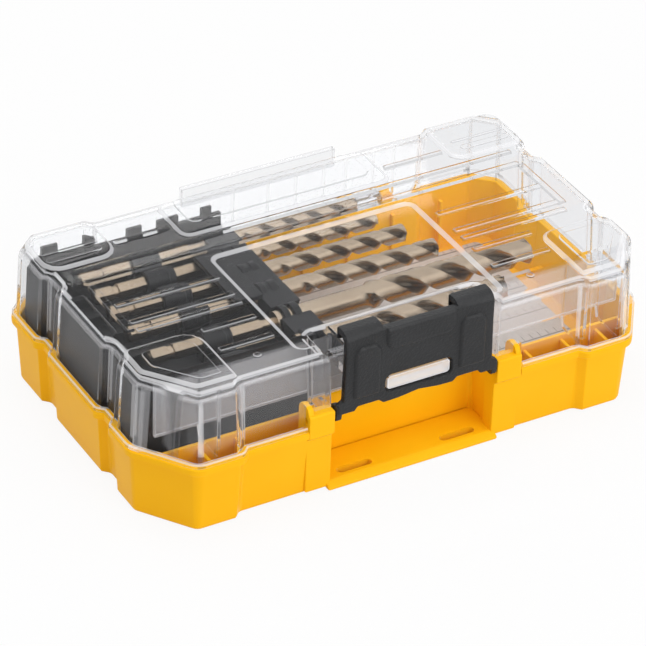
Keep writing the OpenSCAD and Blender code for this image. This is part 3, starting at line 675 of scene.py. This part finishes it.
latch = {
    "face": -68.6, "thick": 3.2, "top": 73.5, "hookRear": -59.8, "hookThick": 3.4,
    "half": [(9, 36.2, 3), (16, 36.0, 1.2), (18, 37.8, 1.5), (27.6, 37.8, 0.8), (29, 36.0, 0.8), (36.6, 36.0, 0.8),
             (36.6, 40.4, 0.8), (34.2, 41.8, 0.8), (33.6, 70.5, 1.5), (16, 71.6, 3)],   # the plate's right side
    "lowMiddle": (0, 37.4, 6), "topMiddle": (0, 69.6, 10),
    "window": (-15, 40.8, 15, 48.4), "scoop": [(-15.5, 71, 1), (-15.5, 61.6, 4), (15.5, 61.6, 4), (15.5, 71, 1)],
    "grip": [(18.6, 42.5, 0.8), (29.6, 42.5, 0.8), (29.6, 63, 2.2), (27.6, 65.4, 1.5), (20.6, 65.4, 1.5),
             (18.6, 63, 2.2)],
    "hookX": (16.8, 33.8), "armX": (34.5, 37.0), "armRadius": 2.9,
}


def makeLatch():
    face, thick, top, rear = latch["face"], latch["thick"], latch["top"], latch["hookRear"]
    left = [(-x, z, r) for x, z, r in latch["half"][::-1]]
    plate = left[-6:] + [latch["lowMiddle"], *latch["half"], latch["topMiddle"]] + left[:-6]
    body = prism(plate, -face - thick, -face, 0.9, "Y")
    under, back = top - latch["hookThick"], face + thick
    hook = [(face, 62, 0.3), (back, 62, 0.3), (back, under, 2.5), (rear - 1.6, under, 0.4),
            (rear - 1.6, under - 2.6, 0.5), (rear, under - 2.6, 0.6), (rear, top, 1.6), (face, top, 4.6)]
    adds = [bothSides(prism(hook, *latch["hookX"], 0.9, "X"))]
    middle = [(face, 58, 0.3), (back, 58, 0.3), (back + 1.2, 69.4, 2), (back + 1.2, 71, 1), (face + 1, 71.2, 3.5)]
    adds.append(prism(middle, -17, 17, 0.6, "X"))
    adds.append(carry(latch["scoop"], [(0.5, -face - 2), (0.5, -face), (0.1, -face + 0.5), (-0.6, -face + 0.9),
                                       (-1.4, -face + 1.0)], 6, plane="Y"))
    adds.append(bothSides(carry(latch["grip"], [(0.6, -face - 2), (0.6, -face), (0.2, -face + 0.5),
                                                (-0.3, -face + 0.85), (-0.9, -face + 0.95)], plane="Y")))
    (py, pz), r = base["pivot"], latch["armRadius"]
    arm = [(py - r, pz - r, r - 0.2), (py + r, pz - r, r - 0.2), (py + r, pz + r, r - 0.4), (back, 40, 1),
           (face + 0.6, 40, 0.5), (face + 0.6, pz, 0.5)]
    adds.append(bothSides(prism(arm, *latch["armX"], 0.3, "X")))
    window = carry(rect(*latch["window"], 2.4), [(0, 60), (0, -face - 1.2), (0.4, -face - 0.3), (1.2, -face + 0.6),
                                                 (1.2, -face + 3)], 6, plane="Y")
    made = combined("latchPlate", body, adds, [window, bothSides(bore((py, pz), 34, 38))])
    dress(made, charcoal, "latch", "latch", "latch")


makeLatch()


# Tray: a deck between a hollow foot and a low wall, whose rear stands up in teeth

tray = {
    "outline": [(-110.6, -41.8, 1.5), (-18, -41.8, 0.6), (-18, 63.5, 0.6), (-78, 63.5, 1.2), (-81, 66.5, 1.2),
                (-105, 66.5, 4), (-110.6, 61.2, 4)],
    "floor": 2.7, "deck": 34.5, "top": 57.0, "wall": 2.0, "rearTop": 52.6,
    "gaps": [(-112, -101.5), (-94.5, -82.5), (-79, -64), (-57.5, -50), (-40.5, -29.5), (-25, -17)],
    "bits": [(-8.625, 6), (-27.6, 5.15), (10.35, 4.35), (26.427, 3.95), (40.227, 3.5), (54.51, 3.2)],
    "small": [(-36.3, 2.4), (-29.2, 2.0), (-22.1, 1.6)], "smallZ": 20, "bitZ": 43,
    "clip": (-66.5, -53.5), "collar": 5.3, "shankHole": 3.82,
    "bridge": (-32, -18), "bridgeTop": 47.5, "bridgeRear": 60.1,
    "cover": ((-43.5, 3.5, 46.9), (-31, 46.5, 49.2)),
    "rails": (-18.1, 0.9, 18.4, 33.3, 47.4), "railHalf": 1.0,
}


def makeTray():
    floor, deck, top, wall = tray["floor"], tray["deck"], tray["top"], tray["wall"]
    profile = [(-wall, deck - wall), (-wall - 1.6, floor + 0.2), (-wall - 1.5, floor), (-1.8, floor),
               (-1.6, floor + 0.2), (-0.1, 31), (-1.3, top - 0.7), (-1.5, top - 0.2), (-2.0, top),
               (-wall - 0.8, top), (-wall - 1.2, top - 0.3), (-wall - 1.2, top - 0.9), (-wall - 0.3, deck + 1.5),
               (-wall - 0.8, deck + 0.4), (-wall - 2, deck)]
    body = carry(tray["outline"], profile)
    front, rear, over, half = tray["bridge"][0] - 1, tray["bridgeRear"] + 0.3, top + 3, tray["railHalf"]
    cuts = [block((front, -60, deck + 0.01), (-15, rear, over), 0.2),
            block((-20.5, -60, deck + 0.01), (-15, 70, over), 0.2)]
    cuts += [block((a, 57, tray["rearTop"]), (b, 70, over), 0.3) for a, b in tray["gaps"]]
    cuts += [turned((y, tray["smallZ"]), [(r + 0.2, -24), (r + 0.2, -14)]) for y, r in tray["small"]]
    adds = [block((-105, y - half, deck - 0.5), (-36, y + half, deck + 5), 0.4) for y in tray["rails"]]
    made = combined("trayBody", body, adds, cuts)
    dress(made, black, "base", "tray", "bit_tray")


# Clips: a low strip with a collar and a foot for each shank, cut by the hole that the shank goes through
def makeClips():
    (a, b), r, deck, hole = tray["clip"], tray["collar"], tray["deck"], tray["shankHole"]
    ys = [y for y, size in tray["bits"]]
    body = block((a + 1, min(ys) - 3, deck), (b - 1, max(ys) + 3, deck + 2), 0.4)
    collar = [(r - 0.9, a), (r - 0.3, a + 0.25), (r, a + 0.9), (r, b - 4), (r - 0.25, b - 3.4), (r - 0.7, b - 3.1),
              (r - 0.7, b - 0.7), (r - 1.2, b)]
    adds, cuts = [], []
    for y in ys:
        adds += [turned((y, tray["bitZ"]), collar, count=40),
                 block((a, y - 3, deck), (b, y + 3, tray["bitZ"] - 1), 0.4)]
        cuts.append(turned((y, tray["bitZ"]), [(hole, a - 2), (hole, b + 2)], count=40))
    made = combined("shankClips", body, adds, cuts)
    dress(made, black, "base", "tray", "shank_clips")


# Bridge: a block over the necks with a ring round each bit and a thin cover towards the clips
def makeBridge():
    (a, b), deck, top = tray["bridge"], tray["deck"], tray["bridgeTop"]
    body = block((a, -41.6, deck), (b, tray["bridgeRear"], top), 0.7, 0.8)
    adds, cuts = [block(*tray["cover"], 0.6, 1.2)], []
    for y, size in tray["bits"]:
        r = max(size + 0.5, min(size + 1.7, 6.4))
        rings = [(r - 0.7, a + 1.5), (r, a + 2.1), (r, a + 4.4), (r - 0.5, a + 5), (r - 0.5, a + 6.4), (r, a + 7),
                 (r, a + 9.6), (r - 0.7, a + 10.2)]
        adds.append(turned((y, tray["bitZ"]), rings, count=40))
        cuts.append(turned((y, tray["bitZ"]), [(size + 0.15, a - 2), (size + 0.15, b + 2)], count=40))
    made = combined("neckBridge", body, adds, cuts)
    dress(made, black, "base", "tray", "neck_bridge")


card = {"edges": (-17.3, -45.6, 106.4, 58.2), "corner": 2.5, "low": 2.62, "thick": 0.5}


# Card: a thin plate with round corners, bare on the floor of the base
def makeCard():
    sheet = prism(rect(*card["edges"], card["corner"]), card["low"], card["low"] + card["thick"], 0.1)
    made = meshPiece("sizeCard", sheet)
    dress(made, paper, "base", "card", "size_card")


makeTray()
makeClips()
makeBridge()
makeCard()


# Drill bits: one surface each, radius over the length and the angle.
# The shank is the smaller of a hexagon and a turned profile; the flutes are a smooth two-lobed cut that
# winds with the length and fades in; the point is a cone

bits = [   # diameter, tip, place across the case, height
    (12, 90, -8.625, 43), (10.3, 66, -27.6, 43), (8.7, 56, 10.35, 43), (7.9, 50, 26.427, 43), (7, 44, 40.227, 43),
    (6.4, 42, 54.51, 43), (4.8, 14, -36.3, 20), (4, 6, -29.2, 20), (3.2, 0, -22.1, 20),
]
shank = {"flats": 6.35, "start": -90, "end": -37, "groove": (-82, -79), "neck": 2.4, "bodyStart": -33}
flute = {"share": 0.72, "firstShare": 0.64, "firstWaist": 0.82, "pitch": 3.6, "depth": 0.62, "relief": 0.035,
         "point": 0.58, "around": 72}   # the first bit has a thinner waist and shorter flutes


# Smooth: 0 up to low, 1 from high on, and an eased rise between
def smooth(low, high, value):
    t = np.clip((value - low) / (high - low), 0, 1)
    return t * t * (3 - 2 * t)


# Radius = the profile, or the hexagon where that is smaller, times one less the flutes' depth and the relief,
# and never past the point's cone
def makeBit(number, diameter, tip, y, z):
    r, first = diameter / 2, number == 1
    start, end, bodyStart = shank["start"], shank["end"], shank["bodyStart"]
    (g1, g2), neck = shank["groove"], min(shank["neck"], 0.9 * r)
    fluteStart = tip - (tip - bodyStart) * flute["firstShare" if first else "share"]
    plain = flute["firstWaist"] * r if first else r
    hexR = shank["flats"] / 2
    corner, pointLength = hexR * 1.14, flute["point"] * r
    keys = np.array([
        (start, 0.0), (start, hexR * 0.72), (start + 0.9, corner), (g1, corner), (g1 + 0.5, 2.6), (g2 - 0.5, 2.6),
        (g2, corner), (end - 3, corner), (end - 2.2, 2.95), (end, neck), (bodyStart, neck),
        (bodyStart + 0.3, plain - 0.3), (bodyStart + 0.8, plain)])
    along = np.concatenate([np.arange(fluteStart - 0.6 * diameter, tip - pointLength, max(diameter * 0.045, 0.3)),
                            np.linspace(tip - pointLength, tip, 12)])
    along = along[along > bodyStart + 1.2]
    body = np.interp(along, [bodyStart + 0.8, fluteStart - 0.5, fluteStart + 0.5, tip + 1], [plain, plain, r, r])
    xs, profile = np.concatenate([keys[:, 0], along])[:, None], np.concatenate([keys[:, 1], body])[:, None]
    angle = np.arange(flute["around"]) / flute["around"] * 2 * np.pi
    hexagon = hexR / np.cos((angle + np.pi / 6) % (np.pi / 3) - np.pi / 6)
    radius = np.where(xs < end, np.minimum(profile, hexagon), profile)
    wound = angle - 2 * np.pi * (xs - fluteStart) / (flute["pitch"] * diameter)
    wave = np.cos(2 * wound + 0.5 * np.sin(2 * wound))
    depth = flute["depth"] * smooth(fluteStart - 0.5 * diameter, fluteStart + 0.35 * diameter, xs)
    relief = flute["relief"] * smooth(-0.35, -0.55, wave) * smooth(fluteStart, fluteStart + 1, xs)
    radius = radius * (1 - depth * smooth(-0.35, 0.75, wave) - relief)
    cone = np.clip((tip - xs) / pointLength, 0, 1) * r
    radius = np.minimum(radius, cone + 0.02)
    rows = np.stack([y + radius * np.cos(angle), z + radius * np.sin(angle), np.broadcast_to(xs, radius.shape)], -1)
    made = meshPiece(f"drillBit{number}", shell(rows, "X"))
    # Painted shade: how far into a flute each point lies, which darkens the bronze there
    paintedFluteShade = smooth(-0.25, 0.8, wave) * smooth(fluteStart - 0.5 * diameter, fluteStart, xs)
    layer = made.data.attributes.new("fluteShadeDepth", "FLOAT", "POINT").data
    layer.foreach_set("value", paintedFluteShade.astype(np.float32).ravel())
    dress(made, bronze, "base", "bit", f"drill_{number}", angle=40)


for number, (diameter, tip, y, z) in enumerate(bits, 1):
    makeBit(number, diameter, tip, y, z)
print("bits made")


# Stage

# One where a ray comes from the camera, a gloss or through the clear lid
def seenRay(tree):
    seen = [node(tree, "ShaderNodeLightPath", out=f"Is {kind} Ray") for kind in ("Camera", "Glossy", "Transmission")]
    return node(tree, "ShaderNodeMath", {"operation": "ADD", "use_clamp": True}, [seen[0] + seen[1], seen[2]])


# Stage: a flat floor just under the case and a white world, both white where they are seen and plain as light
def addStage():
    size, under = stage["floorHalf"], stage["floorZ"]
    mesh = bpy.data.meshes.new("floor")
    mesh.from_pydata([(-size, -size, under), (size, -size, under), (size, size, under), (-size, size, under)],
                     [], [(0, 1, 2, 3)])
    floor = bpy.data.objects.new("floor", mesh)
    bpy.context.scene.collection.objects.link(floor)
    made = material("paleFloor", lambda tree, place: {}, Base_Color=(0.8, 0.8, 0.8, 1), Roughness=0.9,
                    Specular_IOR_Level=0.1)
    tree = made.node_tree
    matte = Value(tree, tree.nodes["Principled BSDF"].outputs[0])
    glow = node(tree, "ShaderNodeEmission", {}, [(1, 1, 1, 1)])
    surface = node(tree, "ShaderNodeMixShader", {}, [seenRay(tree) * stage["floorGlow"], matte, glow])
    tree.links.new(surface.socket, tree.nodes["Material Output"].inputs[0])
    mesh.materials.append(made)
    world = bpy.data.worlds.new("paleWorld")
    bpy.context.scene.world = world
    world.use_nodes = True
    tree = world.node_tree
    back = tree.nodes["Background"]
    back.inputs[0].default_value = (1, 1, 1, 1)
    strength = seenRay(tree) * (1 - stage["world"]) + stage["world"]
    tree.links.new(strength.socket, back.inputs[1])


addCamera()
addStage()
for lamp in stage["lamps"]:
    addLamp(*lamp)
bpy.context.scene.view_settings.view_transform = "Standard"
print("stage set")
